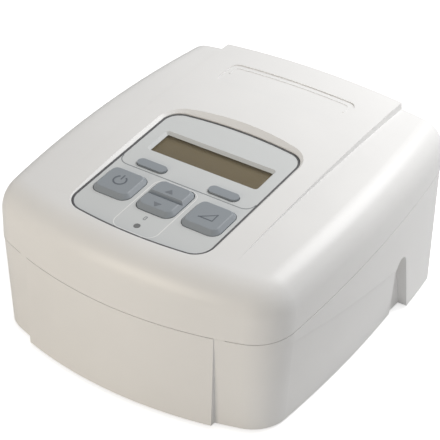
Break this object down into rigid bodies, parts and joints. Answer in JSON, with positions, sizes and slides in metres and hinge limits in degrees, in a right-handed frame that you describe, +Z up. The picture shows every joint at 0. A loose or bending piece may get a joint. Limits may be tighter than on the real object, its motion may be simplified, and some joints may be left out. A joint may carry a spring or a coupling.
{
  "type": "bilevel pap machine",
  "caption": "Bedside bilevel breathing machine: rounded bowed case, raised crowned top with a sunk control panel, display and keys, rear air outlet, filter door and sockets.",
  "frame": {"origin": "on the table, under the middle of the machine's bounding box, air outlet included", "axes": "+Z up; -Y towards the front, where the user stands; +X to the right of someone who faces the front; the air outlet points along +Y"},
  "size_m": [0.16, 0.194, 0.0935],
  "materials": {
    "ivory_shell": "satin, fine even surface",
    "silver_panel": "satin silver-grey",
    "blue_grey_key": "satin",
    "clear_plastic": "clear, polished",
    "display": "dark olive, gloss",
    "grey_fitting": "satin",
    "black_fitting": "satin",
    "white_fitting": "matte",
    "dark_rubber": "matte",
    "grey_rubber": "matte",
    "sound_foam": "open-pored foam",
    "filter_foam": "open-pored foam",
    "filter_fibre": "pressed fibre",
    "circuit_board": "lacquered",
    "steel": "zinc-plated",
    "bearing_steel": "ground",
    "motor_can": "turned",
    "copper_wire": "lacquered copper wire",
    "magnet": "sintered",
    "capacitor": "shrink sleeve",
    "ferrite": "taped",
    "ribbon": "flexible"
  },
  "bodies": {
    "case": {"top_cover": "ivory_shell", "lower_case": "ivory_shell", "rubber_feet": "dark_rubber", "case_screws": "steel", "control_panel": "silver_panel", "display_window": "clear_plastic", "lcd_frame": "black_fitting", "lcd_glass": "display", "display_board": "circuit_board", "display_screws": "steel", "keypad_mat": "grey_rubber", "rocker_pin": "steel", "light_pipe": "clear_plastic", "air_box_base": "black_fitting", "air_box_lid": "black_fitting", "air_box_gasket": "dark_rubber", "lid_foam": "sound_foam", "wall_foam": "sound_foam", "volute_lower": "grey_fitting", "volute_upper": "grey_fitting", "rubber_mounts": "dark_rubber", "motor_can": "motor_can", "lower_bearing": "bearing_steel", "upper_bearing": "bearing_steel", "stator_core": "steel", "stator_coils": "copper_wire", "air_outlet_port": "grey_fitting", "outlet_boot": "dark_rubber", "foam_filter": "filter_foam", "fine_filter": "filter_fibre", "mains_inlet": "black_fitting", "dc_jack": "black_fitting", "data_port": "black_fitting", "main_board": "circuit_board", "supply_board": "circuit_board", "board_screws": "steel", "transformer": "ferrite", "supply_capacitors": "capacitor", "processor": "black_fitting", "pressure_sensor": "white_fitting", "ribbon_socket": "white_fitting", "ribbon_cable": "ribbon", "motor_plug": "white_fitting", "motor_lead": "dark_rubber"},
    "power_button": {"power_button": "blue_grey_key"},
    "ramp_button": {"ramp_button": "blue_grey_key"},
    "left_softkey": {"left_softkey": "blue_grey_key"},
    "right_softkey": {"right_softkey": "blue_grey_key"},
    "scroll_rocker": {"scroll_rocker": "blue_grey_key"},
    "filter_door": {"filter_door": "grey_fitting"},
    "blower_rotor": {"motor_shaft": "bearing_steel", "rotor_magnet": "magnet", "impeller": "black_fitting"}
  },
  "joints": [
    {"name": "power_button_press", "type": "slide", "parent": "case", "child": "power_button", "axis": [0, 0.0993, -0.9951], "range_m": [0, 0.0009], "stiffness_N_per_m": 1500},
    {"name": "ramp_button_press", "type": "slide", "parent": "case", "child": "ramp_button", "axis": [0, 0.0993, -0.9951], "range_m": [0, 0.0009], "stiffness_N_per_m": 1500},
    {"name": "left_softkey_press", "type": "slide", "parent": "case", "child": "left_softkey", "axis": [0, 0.0993, -0.9951], "range_m": [0, 0.0007], "stiffness_N_per_m": 1500},
    {"name": "right_softkey_press", "type": "slide", "parent": "case", "child": "right_softkey", "axis": [0, 0.0993, -0.9951], "range_m": [0, 0.0007], "stiffness_N_per_m": 1500},
    {"name": "scroll_rocker_tilt", "type": "hinge", "parent": "case", "child": "scroll_rocker", "pos_m": [0, -0.05406, 0.07758], "axis": [1, 0, 0], "range_deg": [-4, 4], "stiffness_Nm_per_rad": 0.15},
    {"name": "filter_door_hinge", "type": "hinge", "parent": "case", "child": "filter_door", "pos_m": [-0.04, 0.0679, 0.0245], "axis": [-1, 0, 0], "range_deg": [0, 90]},
    {"name": "blower_spin", "type": "hinge", "parent": "case", "child": "blower_rotor", "pos_m": [0.025, 0.01, 0.045], "axis": [0, 0, 1], "continuous": true}
  ]
}
